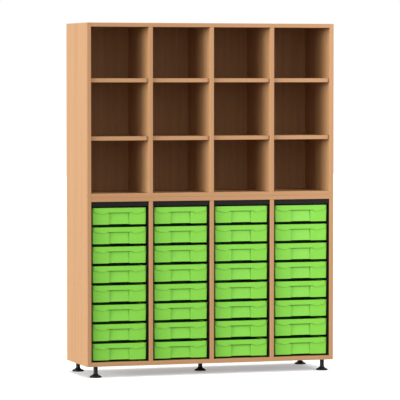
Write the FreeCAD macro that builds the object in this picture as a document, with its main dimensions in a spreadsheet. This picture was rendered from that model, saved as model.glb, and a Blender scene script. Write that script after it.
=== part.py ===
"""Classroom storage cabinet: open shelves above four columns of pull-out trays, on levelling feet.

Millimetres. The origin is on the floor under the middle of the cabinet, +Z is up and the front
faces -Y. The trays are the standard part: the carcass is worked out from them and the boards.
"""
import FreeCAD, Part
import math
import os
import Sketcher

Vector = FreeCAD.Vector
doc = FreeCAD.newDocument("TrayCabinet")

# Driving dimensions
SIZES = [
    ("tray_columns", 4, "columns of trays and of shelves"),
    ("tray_rows", 8, "trays in a column"),
    ("board", 22, "thickness of the carcass boards and shelves"),
    ("edge_round", 1.5, "radius on the front edges of the boards"),
    ("upper_bay_height", 891, "clear height of the open bays"),
    ("shelf_clear", 283, "clear height under the lower shelf"),
    ("shelf_rise", 311, "from the lower shelf to the upper one"),
    ("shelf_recess", 12, "shelf front behind the carcass front"),
    ("shelf_end_gap", 2.5, "air at each end of a shelf"),
    ("shelf_back_gap", 2, "air behind a shelf"),
    ("back_board", 8, "thickness of the back panels"),
    ("back_inset", 13.5, "back panel behind the rear edges"),
    ("tray_width", 312, "tray over its rim"),
    ("tray_depth", 377, "tray from lip to rear rim"),
    ("tray_height", 89, "height of a tray's front"),
    ("tray_gap", 15, "air between two trays in a column"),
    ("tray_recess", 14, "tray front behind the carcass front"),
    ("tray_side_gap", 5.25, "bay wall to tray rim"),
    ("tray_floor_gap", 10.5, "bay floor to the lowest tray"),
    ("tray_head_gap", 33.5, "top tray to the deck"),
    ("tray_rear_gap", 3.5, "tray rim to the back panel"),
    ("tray_travel", 270, "pull-out before the stop"),
    ("tray_wall", 2.5, "tray wall"),
    ("tray_floor", 3, "tray floor"),
    ("tray_lift", 2, "tray floor above the lower edge of its front"),
    ("rim_thickness", 3, "tray rim"),
    ("rim_width", 10, "tray rim beyond the wall"),
    ("wall_draft", 7, "wall leans in from rim to floor"),
    ("tray_corner", 14, "corner radius of the tub and the rear rim in plan"),
    ("front_corner", 20, "corner radius of the tray's front in plan"),
    ("front_wall", 3, "wall of the tray front"),
    ("front_tail", 2, "straight part of the front's wrapped ends"),
    ("front_draft", 2.5, "front narrows towards its lower edge, each side"),
    ("lip_height", 25, "pull lip on the tray front"),
    ("lip_step", 4, "lip in front of the panel below it"),
    ("lip_droop", 10, "how far the lip dips beside the grip"),
    ("droop_centre", 84, "middle of each dip from the tray's middle"),
    ("droop_end", 130, "outer end of each dip from the tray's middle"),
    ("droop_round", 20, "radius along the dipped edge"),
    ("grip_width", 114, "finger grip"),
    ("grip_flare", 6, "grip widens under the lip, each side"),
    ("grip_ear", 4, "height of the widened part"),
    ("ear_depth", 3, "widened part behind the panel"),
    ("grip_depth", 9, "grip behind the panel, at its top"),
    ("grip_foot", 3, "grip behind the panel, at its lower edge"),
    ("grip_round", 4, "radius between the grip's floor and the lip"),
    ("stop_width", 3, "stop lug on the tray rim"),
    ("stop_height", 4, "stop lug above the rim"),
    ("stop_length", 6, "stop lug and stop along the travel"),
    ("stop_rear", 6, "stop lug from the rear of the rim"),
    ("runner_panels", 2, "moulded runner panels above each other on a bay wall"),
    ("runner_recess", 8, "runner front behind the carcass front"),
    ("runner_plate", 3.5, "runner backing plate"),
    ("runner_rear_gap", 4, "runner to the back panel"),
    ("ledge_thickness", 4, "ledge that carries a tray rim"),
    ("ledge_gap", 2.5, "ledge to the tray wall"),
    ("guide_gap", 1, "guide to the stop lug that passes it"),
    ("slide_gap", 0.3, "running clearance of a tray rim"),
    ("return_gap", 2, "tray front to the ledges behind it"),
    ("bar_height", 26, "bar that closes the top of a tray bay"),
    ("bar_flange", 26, "flange of the bar under the deck"),
    ("bar_wall", 3, "wall of the bar"),
    ("fit_gap", 0.25, "assembly clearance"),
    ("drill_gap", 0.05, "radial clearance in drilled holes"),
    ("dowel_diameter", 8, "wooden dowel"),
    ("dowel_in_face", 12, "dowel in the face of a board"),
    ("dowel_in_end", 23, "dowel in the end of a board"),
    ("dowel_inset", 60, "dowels from the front and rear edges"),
    ("pin_diameter", 5, "shelf pin"),
    ("pin_web", 4, "board left between pins from both sides"),
    ("pin_reach", 8, "shelf pin under the shelf"),
    ("pin_inset", 45, "shelf pins from the shelf's front and rear"),
    ("screw_diameter", 3.5, "fixing screw"),
    ("screw_web", 5, "board left between runner screws from both sides"),
    ("screw_head", 7, "diameter of the screw head"),
    ("screw_head_height", 2, "height of the screw head"),
    ("screw_inset", 60, "runner screws from the runner's ends"),
    ("screw_drop", 30, "runner screws below a ledge"),
    ("foot_height", 60, "floor to the underside of the carcass"),
    ("foot_diameter", 64, "foot pad"),
    ("foot_rim", 9, "height of the pad's edge"),
    ("foot_flare", 24, "height where the flare meets the neck"),
    ("foot_neck", 23, "diameter of the neck"),
    ("foot_edge", 3, "radius on the pad's edge"),
    ("foot_inset_side", 53.5, "corner foot from the side"),
    ("foot_inset_front", 32.5, "corner foot from the front and rear"),
    ("spindle_diameter", 10, "levelling spindle"),
    ("spindle_gap", 1, "spindle to the end of its socket"),
    ("spindle_seat", 34, "spindle in the foot"),
    ("socket_wall", 3, "wall of the threaded socket"),
    ("socket_cover", 3, "board left over the threaded socket"),
]

# Values worked out from them
WORKED = [
    ("bay_width", "Dims.tray_width + 2 * Dims.tray_side_gap"),
    ("bay_pitch", "bay_width + Dims.board"),
    ("inner_width", "Dims.tray_columns * bay_pitch - Dims.board"),
    ("carcass_width", "inner_width + 2 * Dims.board"),
    ("back_front", "Dims.tray_recess + Dims.tray_depth + Dims.tray_rear_gap"),
    ("carcass_depth", "back_front + Dims.back_board + Dims.back_inset"),
    ("front", "-carcass_depth / 2"),
    ("tray_pitch", "Dims.tray_height + Dims.tray_gap"),
    ("tray_stack", "Dims.tray_rows * tray_pitch - Dims.tray_gap"),
    ("lower_bay_height", "Dims.tray_floor_gap + tray_stack + Dims.tray_head_gap"),
    ("carcass_height", "lower_bay_height + Dims.upper_bay_height + 4 * Dims.board"),
    ("lower_floor", "Dims.foot_height + Dims.board"),
    ("deck", "lower_floor + lower_bay_height"),
    ("upper_floor", "deck + 2 * Dims.board"),
    ("top_underside", "upper_floor + Dims.upper_bay_height"),
    ("first_bay", "-inner_width / 2"),
    ("shelf_width", "bay_width - 2 * Dims.shelf_end_gap"),
    ("shelf_depth", "back_front - Dims.shelf_recess - Dims.shelf_back_gap"),
    ("rim_half", "Dims.tray_width / 2"),
    ("wall_half", "rim_half - Dims.rim_width"),
    ("floor_half", "wall_half - Dims.wall_draft"),
    ("wall_rear", "Dims.tray_depth - Dims.rim_width"),
    ("tub_front", "Dims.lip_step + Dims.front_wall / 2"),
    ("cavity_front", "Dims.lip_step + Dims.front_wall"),
    ("front_return", "Dims.front_corner + Dims.front_tail"),
    ("ear_rear", "Dims.lip_step + Dims.ear_depth"),
    ("grip_rear", "Dims.lip_step + Dims.grip_depth"),
    ("grip_foot_rear", "Dims.lip_step + Dims.grip_foot"),
    ("tub_underside", "Dims.tray_lift - Dims.tray_height"),
    ("stop_front", "Dims.tray_depth - Dims.stop_rear - Dims.stop_length"),
    ("lowest_rim", "Dims.tray_floor_gap + Dims.tray_height"),
    ("runner_depth", "back_front - Dims.runner_rear_gap - Dims.runner_recess"),
    ("runner_top", "lower_bay_height"),
    ("panel_drop", "Dims.tray_height - Dims.rim_thickness - Dims.slide_gap + Dims.tray_gap / 2"),
    ("ledge_front", "Dims.tray_recess + front_return + Dims.return_gap - Dims.runner_recess"),
    ("ledge_reach", "Dims.tray_side_gap + Dims.rim_width - Dims.ledge_gap"),
    ("ledge_top", "lowest_rim - Dims.rim_thickness - Dims.slide_gap"),
    ("guide_reach", "Dims.tray_side_gap + Dims.rim_width - Dims.stop_width - Dims.guide_gap"),
    ("guide_bottom", "lowest_rim + 2 * Dims.slide_gap"),
    ("guide_rear", "Dims.tray_recess + stop_front - Dims.tray_travel - Dims.slide_gap - Dims.runner_recess"),
    ("stop_reach", "Dims.tray_side_gap + Dims.rim_width - 2 * Dims.slide_gap"),
    ("bar_length", "bay_width - 2 * Dims.runner_plate - 2 * Dims.fit_gap"),
    ("pin_in_board", "(Dims.board - Dims.pin_web) / 2"),
    ("screw_length", "Dims.runner_plate + (Dims.board - Dims.screw_web) / 2"),
    ("socket_length", "Dims.board - Dims.socket_cover"),
    ("socket_radius", "Dims.spindle_diameter / 2 + Dims.drill_gap + Dims.socket_wall"),
    ("spindle_reach", "socket_length - Dims.spindle_gap"),
]

dims = doc.addObject("Spreadsheet::Sheet", "Dims")
for row, (alias, value, note) in enumerate(SIZES, 1):
    dims.set(f"A{row}", alias)
    dims.set(f"B{row}", str(value))
    dims.set(f"C{row}", note)
    dims.setAlias(f"B{row}", alias)

worked = doc.addObject("Spreadsheet::Sheet", "Worked")
for row, (alias, formula) in enumerate(WORKED, 1):
    worked.set(f"A{row}", alias)
    worked.set(f"B{row}", "=" + formula)
    worked.setAlias(f"B{row}", alias)
doc.recompute()

COLUMNS = range(int(dims.get("tray_columns")))
ROWS = range(int(dims.get("tray_rows")))
PANELS = range(int(dims.get("runner_panels")))
parts = {}
drillings = {}


def value(expression):
    """The number that an expression gives with the sheet's present values."""
    return float(dims.evalExpression(expression))


def bind(obj, **expressions):
    """Bind properties of an object to expressions."""
    for name, expression in expressions.items():
        obj.setExpression(name, expression)
    return obj


def place(obj, x="0", y="0", z="0", axis=None, angle=0):
    """Turn an object about an axis and bind its position."""
    if axis is not None:
        obj.Placement = FreeCAD.Placement(Vector(0, 0, 0), FreeCAD.Rotation(Vector(*axis), angle))
    obj.setExpression("Placement.Base.x", x)
    obj.setExpression("Placement.Base.y", y)
    obj.setExpression("Placement.Base.z", z)
    return obj


def new_body(name):
    """An empty body, with its label."""
    body = doc.addObject("PartDesign::Body", name)
    body.Label = name
    return body


def new_sketch(body, plane, height="0"):
    """A sketch on one of the body's origin planes, raised along the plane's normal."""
    sketch = body.newObject("Sketcher::SketchObject", "Sketch")
    support = next(item for item in body.Origin.OriginFeatures if item.Role == plane)
    sketch.AttachmentSupport = [(support, "")]
    sketch.MapMode = "FlatFace"
    sketch.setExpression("AttachmentOffset.Base.z", height)
    return sketch


def tie_point(sketch, geometry, vertex, corner):
    """Bind a sketch point to a pair of expressions."""
    for kind, expression in (("DistanceX", corner[0]), ("DistanceY", corner[1])):
        constraint = Sketcher.Constraint(kind, -1, 1, geometry, vertex, value(expression))
        index = sketch.addConstraint(constraint)
        sketch.setExpression(f"Constraints[{index}]", expression)


def outline(sketch, corners):
    """Draw a closed outline anticlockwise; a corner is (x, y) or (x, y, radius), all expressions."""
    count = len(corners)
    points = [Vector(value(corner[0]), value(corner[1]), 0) for corner in corners]
    starts = list(points)
    ends = list(points)
    arcs = {}
    for index, corner in enumerate(corners):
        if len(corner) < 3:
            continue
        before = (points[index - 1] - points[index]).normalize()
        after = (points[(index + 1) % count] - points[index]).normalize()
        turn = math.pi - before.getAngle(after)
        radius = value(corner[2])
        reach = radius * math.tan(turn / 2)
        left_turn = before.cross(after).z < 0
        ends[index] = points[index] + before * reach
        starts[index] = points[index] + after * reach
        centre = points[index] + (before + after).normalize() * (radius / math.cos(turn / 2))
        first, last = (ends[index], starts[index]) if left_turn else (starts[index], ends[index])
        angles = [math.atan2(point.y - centre.y, point.x - centre.x) for point in (first, last)]
        circle = Part.Circle(centre, Vector(0, 0, 1), radius)
        arcs[index] = (Part.ArcOfCircle(circle, *angles), left_turn)
    lines = []
    for index in range(count):
        segment = Part.LineSegment(starts[index], ends[(index + 1) % count])
        lines.append(sketch.addGeometry(segment, False))
    for index, corner in enumerate(corners):
        line_in = lines[index - 1]
        line_out = lines[index]
        if index not in arcs:
            sketch.addConstraint(Sketcher.Constraint("Coincident", line_in, 2, line_out, 1))
            tie_point(sketch, line_out, 1, corner)
            continue
        arc, left_turn = arcs[index]
        bend = sketch.addGeometry(arc, False)
        bend_in, bend_out = (1, 2) if left_turn else (2, 1)
        sketch.addConstraint(Sketcher.Constraint("Tangent", line_in, 2, bend, bend_in))
        sketch.addConstraint(Sketcher.Constraint("Tangent", bend, bend_out, line_out, 1))
        radius = sketch.addConstraint(Sketcher.Constraint("Radius", bend, value(corner[2])))
        sketch.setExpression(f"Constraints[{radius}]", corner[2])
        sharp = sketch.addGeometry(Part.Point(points[index]), True)
        tie_point(sketch, sharp, 1, corner)
        sketch.addConstraint(Sketcher.Constraint("PointOnObject", sharp, 1, line_in))
        sketch.addConstraint(Sketcher.Constraint("PointOnObject", sharp, 1, line_out))
    return sketch


def rectangle(left, right, front, back, front_round=None, back_round=None):
    """Corners of an upright rectangle, with optional radii at its front and back."""
    front_end = (front_round,) if front_round else ()
    back_end = (back_round,) if back_round else ()
    return [(left, front) + front_end, (right, front) + front_end,
            (right, back) + back_end, (left, back) + back_end]


def pad(body, plane, corners, length, height="0", both_ways=False, reversed_way=False):
    """Draw an outline and raise it."""
    sketch = outline(new_sketch(body, plane, height), corners)
    feature = body.newObject("PartDesign::Pad", "Pad")
    feature.Profile = sketch
    feature.Midplane = both_ways
    feature.Reversed = reversed_way
    return bind(feature, Length=length)


def pocket(body, plane, corners, depth, height="0", both_ways=False):
    """Draw an outline and sink it."""
    sketch = outline(new_sketch(body, plane, height), corners)
    feature = body.newObject("PartDesign::Pocket", "Pocket")
    feature.Profile = sketch
    feature.Midplane = both_ways
    return bind(feature, Length=depth)


def loft(body, kind, low, low_height, high, high_height):
    """Join a low outline to a high one with straight sides."""
    feature_sketches = []
    for corners, height in ((low, low_height), (high, high_height)):
        feature_sketches.append(outline(new_sketch(body, "XY_Plane", height), corners))
    feature = body.newObject(kind, "Loft")
    feature.Profile = feature_sketches[0]
    feature.Sections = feature_sketches[1:]
    feature.Ruled = True
    return feature


def revolve(body, corners):
    """Turn an outline on the XZ plane about the Z axis."""
    sketch = outline(new_sketch(body, "XZ_Plane"), corners)
    feature = body.newObject("PartDesign::Revolution", "Revolution")
    feature.Profile = sketch
    feature.ReferenceAxis = (sketch, ["V_Axis"])
    feature.Angle = 360
    return feature


def copy_of(original, label):
    """Another piece of the same shape, which gets its own place."""
    twin = doc.addObject("Part::Compound", label)
    twin.Label = label
    twin.Links = [original]
    return twin


def group(label, members):
    """Like pieces that share one name."""
    together = doc.addObject("Part::Compound", label)
    together.Label = label
    together.Links = members
    parts[label] = together
    return together


def rod(label, diameter, length, x, y, z, axis=None, angle=0):
    """A round rod from a point along +Z, or turned about an axis."""
    cylinder = doc.addObject("Part::Cylinder", label)
    bind(cylinder, Radius=f"({diameter}) / 2", Height=length)
    return place(cylinder, x, y, z, axis, angle)


def drill(boards, diameter, length, x, y, z, axis=None, angle=0):
    """A hole, a little wider than what it holds, in the named boards."""
    hole = rod("Drill", f"{diameter} + 2 * Dims.drill_gap", length, x, y, z, axis, angle)
    for board in boards:
        drillings.setdefault(board, []).append(hole)


def bay_x(column):
    """Left wall of a bay."""
    return f"(Worked.first_bay + {column} * Worked.bay_pitch)"


def bay_middle(column):
    """Middle of a bay."""
    return f"({bay_x(column)} + Worked.bay_width / 2)"


def from_front(distance):
    """A distance behind the carcass front, as a place on Y."""
    return f"(Worked.front + {distance})"


# Turns that point +Z another way
TO_RIGHT = ((0, 1, 0), 90)
TO_LEFT = ((0, 1, 0), -90)
TO_REAR = ((1, 0, 0), -90)
DOWN = ((1, 0, 0), 180)


# Carcass boards
def upright(label, x, z, height, depth):
    """A board that stands, with rounded front edges."""
    body = new_body(label)
    corners = rectangle("0", "Dims.board", "Worked.front", f"Worked.front + {depth}", "Dims.edge_round")
    pad(body, "XY_Plane", corners, height)
    parts[label] = place(body, x, "0", z)


def level(label, length, front, depth, x, z):
    """A board that lies, with rounded front edges; x is its middle."""
    body = new_body(label)
    rear = f"Worked.front + {front} + {depth}"
    start = f"Worked.front + {front}"
    corners = [(start, "0", "Dims.edge_round"), (rear, "0"),
               (rear, "Dims.board"), (start, "Dims.board", "Dims.edge_round")]
    pad(body, "YZ_Plane", corners, length, both_ways=True)
    parts[label] = place(body, x, "0", z)
    return body


def carcass():
    """Sides, top, bottom, the double deck, the partitions and the back panels."""
    side_x = {"left": "-Worked.carcass_width / 2", "right": "Worked.inner_width / 2"}
    for side, x in side_x.items():
        upright(f"{side}_side_panel", x, "Dims.foot_height", "Worked.carcass_height", "Worked.carcass_depth")
    levels = {"bottom_panel": "Dims.foot_height", "lower_deck_board": "Worked.deck",
              "upper_deck_board": "Worked.deck + Dims.board", "top_panel": "Worked.top_underside"}
    for label, z in levels.items():
        level(label, "Worked.inner_width", "0", "Worked.carcass_depth", "0", z)
        for side in side_x:
            side_dowels(label, side, z)
    tiers = {"lower": ("Worked.lower_floor", "Worked.lower_bay_height", "bottom_panel", "lower_deck_board"),
             "upper": ("Worked.upper_floor", "Dims.upper_bay_height", "upper_deck_board", "top_panel")}
    for tier, (z, height, below, above) in tiers.items():
        for wall in COLUMNS[1:]:
            label = f"{tier}_partition_{wall}"
            x = f"{bay_x(wall)} - Dims.board"
            upright(label, x, z, height, "Worked.back_front")
            partition_dowels(label, wall, z, height, below, above)
        back_panel(tier, z, height)


def back_panel(tier, z, height):
    """A thin panel behind the partitions, screwed to their rear edges."""
    label = f"{tier}_back_panel"
    panel = doc.addObject("Part::Box", label)
    panel.Label = label
    bind(panel, Length="Worked.inner_width", Width="Dims.back_board", Height=height)
    parts[label] = place(panel, "Worked.first_bay", from_front("Worked.back_front"), z)
    for wall in COLUMNS[1:]:
        for share in (0.1, 0.5, 0.9):
            x = f"{bay_x(wall)} - Dims.board / 2"
            y = from_front("Worked.back_front + Dims.back_board")
            screw([label, f"{tier}_partition_{wall}"], x, y, f"{z} + {share} * {height}", *TO_REAR)


# Dowels and screws
dowels = []
screws = []


def dowel(boards, x, y, z, axis=None, angle=0):
    """A dowel and its holes."""
    length = "Dims.dowel_in_face + Dims.dowel_in_end"
    dowels.append(rod("Dowel", "Dims.dowel_diameter", length, x, y, z, axis, angle))
    drill(boards, "Dims.dowel_diameter", length, x, y, z, axis, angle)


def side_dowels(label, side, z):
    """Dowels from the end of a level board into a side panel."""
    start = {"left": "Worked.first_bay - Dims.dowel_in_face",
             "right": "Worked.inner_width / 2 - Dims.dowel_in_end"}[side]
    for y in (from_front("Dims.dowel_inset"), from_front("Worked.back_front - Dims.dowel_inset")):
        dowel([label, f"{side}_side_panel"], start, y, f"{z} + Dims.board / 2", *TO_RIGHT)


def partition_dowels(label, wall, z, height, below, above):
    """Dowels from both ends of a partition into the boards below and above."""
    x = f"{bay_x(wall)} - Dims.board / 2"
    for y in (from_front("Dims.dowel_inset"), from_front("Worked.back_front - Dims.dowel_inset")):
        dowel([label, below], x, y, f"{z} - Dims.dowel_in_face")
        dowel([label, above], x, y, f"{z} + {height} - Dims.dowel_in_end")


def make_screw():
    """A round-headed screw whose head sits on Z = 0 and whose shank points down."""
    body = new_body("Screw")
    shank = "Dims.screw_diameter / 2"
    head = "Dims.screw_head / 2"
    tip = "-Worked.screw_length"
    revolve(body, [("0", tip), (shank, f"{tip} + Dims.screw_diameter"), (shank, "0"), (head, "0"),
                   (head, "Dims.screw_head_height", "Dims.screw_head_height / 2"),
                   ("0", "Dims.screw_head_height")])
    return body


def screw(boards, x, y, z, axis=None, angle=0):
    """A screw with its head on a surface at the given point, and its hole; unturned, it points down."""
    screws.append(place(copy_of(screw_shape, "FixingScrew"), x, y, z, axis, angle))
    if axis is None:
        drill(boards, "Dims.screw_diameter", "Worked.screw_length", x, y, f"{z} - Worked.screw_length")
    else:
        drill(boards, "Dims.screw_diameter", "Worked.screw_length", x, y, z, axis, angle + 180)


# Shelves and their pins
def shelves():
    """Two rows of loose shelves, each shelf on four pins."""
    pins = []
    heights = {"lower": "Dims.shelf_clear", "upper": "Dims.shelf_clear + Dims.shelf_rise"}
    for tier, height in heights.items():
        z = f"Worked.upper_floor + {height}"
        row = []
        for column in COLUMNS:
            label = f"{tier}_shelf_{column + 1}"
            row.append(level(label, "Worked.shelf_width", "Dims.shelf_recess", "Worked.shelf_depth",
                             bay_middle(column), z))
            del parts[label]
            pins += shelf_pins(column, z)
        group(f"{tier}_shelf_row", row)
    group("shelf_pins", pins)


def shelf_pins(column, z):
    """Four pins for one shelf, in the bay's two walls."""
    partitions = [f"upper_partition_{wall}" for wall in COLUMNS[1:]]
    walls = ["left_side_panel"] + partitions + ["right_side_panel"]
    starts = ((walls[column], f"{bay_x(column)} - Worked.pin_in_board"),
              (walls[column + 1], f"{bay_x(column)} + Worked.bay_width - Dims.pin_reach"))
    length = "Worked.pin_in_board + Dims.pin_reach"
    height = f"{z} - Dims.pin_diameter / 2 - Dims.drill_gap"
    front = "Dims.shelf_recess + Dims.pin_inset"
    rear = "Dims.shelf_recess + Worked.shelf_depth - Dims.pin_inset"
    pins = []
    for wall, x in starts:
        for y in (from_front(front), from_front(rear)):
            pins.append(rod("ShelfPin", "Dims.pin_diameter", length, x, y, height, *TO_RIGHT))
            drill([wall], "Dims.pin_diameter", length, x, y, height, *TO_RIGHT)
    return pins


# Tray runners
def panel_rows(panel):
    """The tray rows that a runner panel carries, counted from the floor."""
    return ROWS[panel * len(ROWS) // len(PANELS):(panel + 1) * len(ROWS) // len(PANELS)]


def panel_bottom(panel):
    """Lower edge of a runner panel above the bay floor, in the gap between two trays."""
    if panel == PANELS[0]:
        return "0"
    return f"(Worked.ledge_top + {panel_rows(panel)[0]} * Worked.tray_pitch - Worked.panel_drop)"


def make_runner(panel):
    """A runner panel for the left wall of a bay: a plate with a ledge, a guide and a stop for each tray."""
    body = new_body("RunnerShape")
    rows = panel_rows(panel)
    first = f"{rows[0]} * Worked.tray_pitch"
    bottom = panel_bottom(panel)
    top = "Worked.runner_top" if panel == PANELS[-1] else panel_bottom(panel + 1)
    front = "Worked.ledge_front"
    rear = "Worked.guide_rear"
    plate_plan = rectangle("0", "Dims.runner_plate", "0", "Worked.runner_depth")
    ledge_plan = rectangle("0", "Worked.ledge_reach", front, "Worked.runner_depth")
    guide_plan = rectangle("0", "Worked.guide_reach", front, rear)
    stop_plan = rectangle("0", "Worked.stop_reach", f"{rear} - Dims.stop_length", rear)
    thickness = "Dims.ledge_thickness"
    ledge_height = f"Worked.ledge_top + {first}"
    guide_height = f"Worked.guide_bottom + {first}"
    pad(body, "XY_Plane", plate_plan, f"{top} - {bottom} - Dims.fit_gap", height=bottom)
    ledge = pad(body, "XY_Plane", ledge_plan, thickness, height=ledge_height, reversed_way=True)
    guide = pad(body, "XY_Plane", guide_plan, thickness, height=guide_height)
    stop = pad(body, "XY_Plane", stop_plan, thickness, height=guide_height)
    if len(rows) > 1:
        doc.recompute()
        pattern = body.newObject("PartDesign::LinearPattern", "Rows")
        pattern.Originals = [ledge, guide, stop]
        upwards = next(item for item in body.Origin.OriginFeatures if item.Role == "Z_Axis")
        pattern.Direction = (upwards, [""])
        bind(pattern, Length=f"{len(rows) - 1} * Worked.tray_pitch", Occurrences=str(len(rows)))
        body.Tip = pattern
    return body


def runners():
    """Runner panels on each wall of each tray bay, with their screws, and the bar at the bay's top."""
    left_shapes = [make_runner(panel) for panel in PANELS]
    right_shapes = [mirrored(shape) for shape in left_shapes]
    walls = ["left_side_panel"] + [f"lower_partition_{wall}" for wall in COLUMNS[1:]] + ["right_side_panel"]
    sides = {"left": (left_shapes, 0, "", "Dims.runner_plate", TO_RIGHT),
             "right": (right_shapes, 1, " + Worked.bay_width", "-Dims.runner_plate", TO_LEFT)}
    for side, (shapes, step, across, plate, turn) in sides.items():
        label = f"{side}_tray_runners"
        members = []
        for column in COLUMNS:
            x = f"{bay_x(column)}{across}"
            for panel in PANELS:
                runner = copy_of(shapes[panel], f"{side}_runner_{column + 1}")
                members.append(place(runner, x, from_front("Dims.runner_recess"), "Worked.lower_floor"))
                runner_screws(panel, [label, walls[column + step]], f"{x} + {plate}", turn)
        group(label, members)
    bars()


def mirrored(shape):
    """The same piece for the opposite wall."""
    twin = doc.addObject("Part::Mirroring", "OppositeShape")
    twin.Source = shape
    twin.Normal = Vector(1, 0, 0)
    return twin


def runner_screws(panel, boards, x, turn):
    """Four screws through a runner panel into its wall, below its second ledge and its top one."""
    front = "Dims.runner_recess + Dims.screw_inset"
    rear = "Dims.runner_recess + Worked.runner_depth - Dims.screw_inset"
    for row in sorted({panel_rows(panel)[:2][-1], panel_rows(panel)[-1]}):
        z = f"Worked.lower_floor + Worked.ledge_top + {row} * Worked.tray_pitch - Dims.screw_drop"
        for y in (from_front(front), from_front(rear)):
            screw(boards, x, y, z, *turn)


def bars():
    """An angle bar under the deck at the top of each tray bay."""
    members = []
    for column in COLUMNS:
        body = new_body(f"bay_bar_{column + 1}")
        corners = [("0", "-Dims.bar_height"), ("Dims.bar_wall", "-Dims.bar_height"),
                   ("Dims.bar_wall", "-Dims.bar_wall"), ("Dims.bar_flange", "-Dims.bar_wall"),
                   ("Dims.bar_flange", "0"), ("0", "0", "Dims.bar_wall / 2")]
        pad(body, "YZ_Plane", corners, "Worked.bar_length", both_ways=True)
        members.append(place(body, bay_middle(column), from_front("Dims.runner_recess"), "Worked.deck"))
        for way in (-1, 1):
            x = f"{bay_middle(column)} + {way} * Worked.bar_length / 4"
            y = from_front("Dims.runner_recess + (Dims.bar_wall + Dims.bar_flange) / 2")
            screw(["bay_bars", "lower_deck_board"], x, y, "Worked.deck - Dims.bar_wall", *DOWN)
    group("bay_bars", members)


# Trays
def make_tray():
    """A moulded tray; the origin is on its lip, at the middle of the rim's top front edge."""
    body = new_body("TrayShape")
    tray_front(body)
    tub(body)
    grip(body)
    stop_lugs(body)
    return body


def front_section(half, front, back):
    """Plan of the tray front, with rounded corners."""
    return rectangle(f"-({half})", half, front, back, "Dims.front_corner")


def tray_front(body):
    """The front panel with its ends wrapped back, narrowing towards its lower edge."""
    low_half = "Worked.rim_half - Dims.front_draft"
    loft(body, "PartDesign::AdditiveLoft",
         front_section(low_half, "0", "Worked.front_return"), "-Dims.tray_height",
         front_section("Worked.rim_half", "0", "Worked.front_return"), "-Dims.rim_thickness")
    behind = "2 * Worked.front_return"
    inner = "Dims.front_corner - Dims.front_wall"
    sections = []
    for half in (low_half, "Worked.rim_half"):
        inside = f"{half} - Dims.front_wall"
        sections.append(rectangle(f"-({inside})", inside, "Worked.cavity_front", behind, inner))
    loft(body, "PartDesign::SubtractiveLoft", sections[0], "-Dims.tray_height - Dims.tray_lift",
         sections[1], "Dims.tray_lift - Dims.rim_thickness")


def tub(body):
    """The tub behind the front, its rim and its hollow."""
    low = rectangle("-Worked.floor_half", "Worked.floor_half", "Worked.tub_front",
                    "Worked.wall_rear - Dims.wall_draft", None, "Dims.tray_corner")
    high = rectangle("-Worked.wall_half", "Worked.wall_half", "Worked.tub_front",
                     "Worked.wall_rear", None, "Dims.tray_corner")
    loft(body, "PartDesign::AdditiveLoft", low, "Worked.tub_underside", high, "-Dims.rim_thickness / 2")
    rim = rectangle("-Worked.rim_half", "Worked.rim_half", "0", "Dims.tray_depth",
                    "Dims.front_corner", "Dims.tray_corner")
    pad(body, "XY_Plane", rim, "Dims.rim_thickness", reversed_way=True)
    inner = "Dims.tray_corner - Dims.tray_wall"
    hollow = []
    for half, rear in (("Worked.floor_half", "Worked.wall_rear - Dims.wall_draft"),
                       ("Worked.wall_half", "Worked.wall_rear")):
        inside = f"{half} - Dims.tray_wall"
        hollow.append(rectangle(f"-({inside})", inside, "Worked.cavity_front", f"{rear} - Dims.tray_wall",
                                inner, inner))
    loft(body, "PartDesign::SubtractiveLoft", hollow[0], "Worked.tub_underside + Dims.tray_floor",
         hollow[1], "Dims.rim_thickness")


def grip(body):
    """The dipped lip and the scooped finger grip under it, with a housing inside the tub."""
    wide_half = "(Dims.grip_width / 2 + Dims.grip_flare)"
    lip = "-Dims.lip_height"
    ear = f"{lip} - Dims.grip_ear"
    housing = [("Worked.tub_front", "Worked.tub_underside"),
               ("Worked.grip_foot_rear + Dims.tray_wall", "Worked.tub_underside"),
               ("Worked.grip_rear + Dims.tray_wall", f"{lip} + Dims.tray_wall", "Dims.grip_round"),
               ("Worked.tub_front", f"{lip} + Dims.tray_wall")]
    pad(body, "YZ_Plane", housing, "Dims.grip_width + 2 * Dims.tray_wall", both_ways=True)
    ear_half = f"({wide_half} + Dims.tray_wall)"
    ears = rectangle(f"-{ear_half}", ear_half, "Worked.tub_front", "Worked.ear_rear + Dims.tray_wall",
                     None, "Dims.tray_wall")
    pad(body, "XY_Plane", ears, "Dims.grip_ear + 2 * Dims.tray_wall", height=f"{ear} - Dims.tray_wall")

    flat = f"({wide_half} + Dims.droop_round / 3)"
    dip = f"{lip} - Dims.lip_droop"
    bend = "Dims.droop_round"
    outer = "Worked.rim_half + Dims.lip_step"
    below = "-Dims.tray_height - Dims.lip_step"
    step = [(f"-({outer})", below), (outer, below), (outer, lip),
            ("Dims.droop_end", lip, bend), ("Dims.droop_centre", dip, bend), (flat, lip, bend),
            (f"-{flat}", lip, bend), ("-Dims.droop_centre", dip, bend), ("-Dims.droop_end", lip, bend),
            (f"-({outer})", lip)]
    pocket(body, "XZ_Plane", step, "Dims.lip_step")

    scoop = [("-Dims.lip_step", below), ("Worked.grip_foot_rear", below),
             ("Worked.grip_rear", lip, "Dims.grip_round"), ("-Dims.lip_step", lip)]
    pocket(body, "YZ_Plane", scoop, "Dims.grip_width", both_ways=True)
    widened = [(f"-{wide_half}", ear), (wide_half, ear), (wide_half, lip), (f"-{wide_half}", lip)]
    pocket(body, "XZ_Plane", widened, "Worked.ear_rear")


def stop_lugs(body):
    """Lugs on the rear of the rim that meet the runners' stops."""
    rear = "Worked.stop_front + Dims.stop_length"
    outer = "Worked.wall_half + Dims.stop_width"
    for left, right in (("Worked.wall_half", outer), (f"-({outer})", "-Worked.wall_half")):
        pad(body, "XY_Plane", rectangle(left, right, "Worked.stop_front", rear), "Dims.stop_height")


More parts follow.
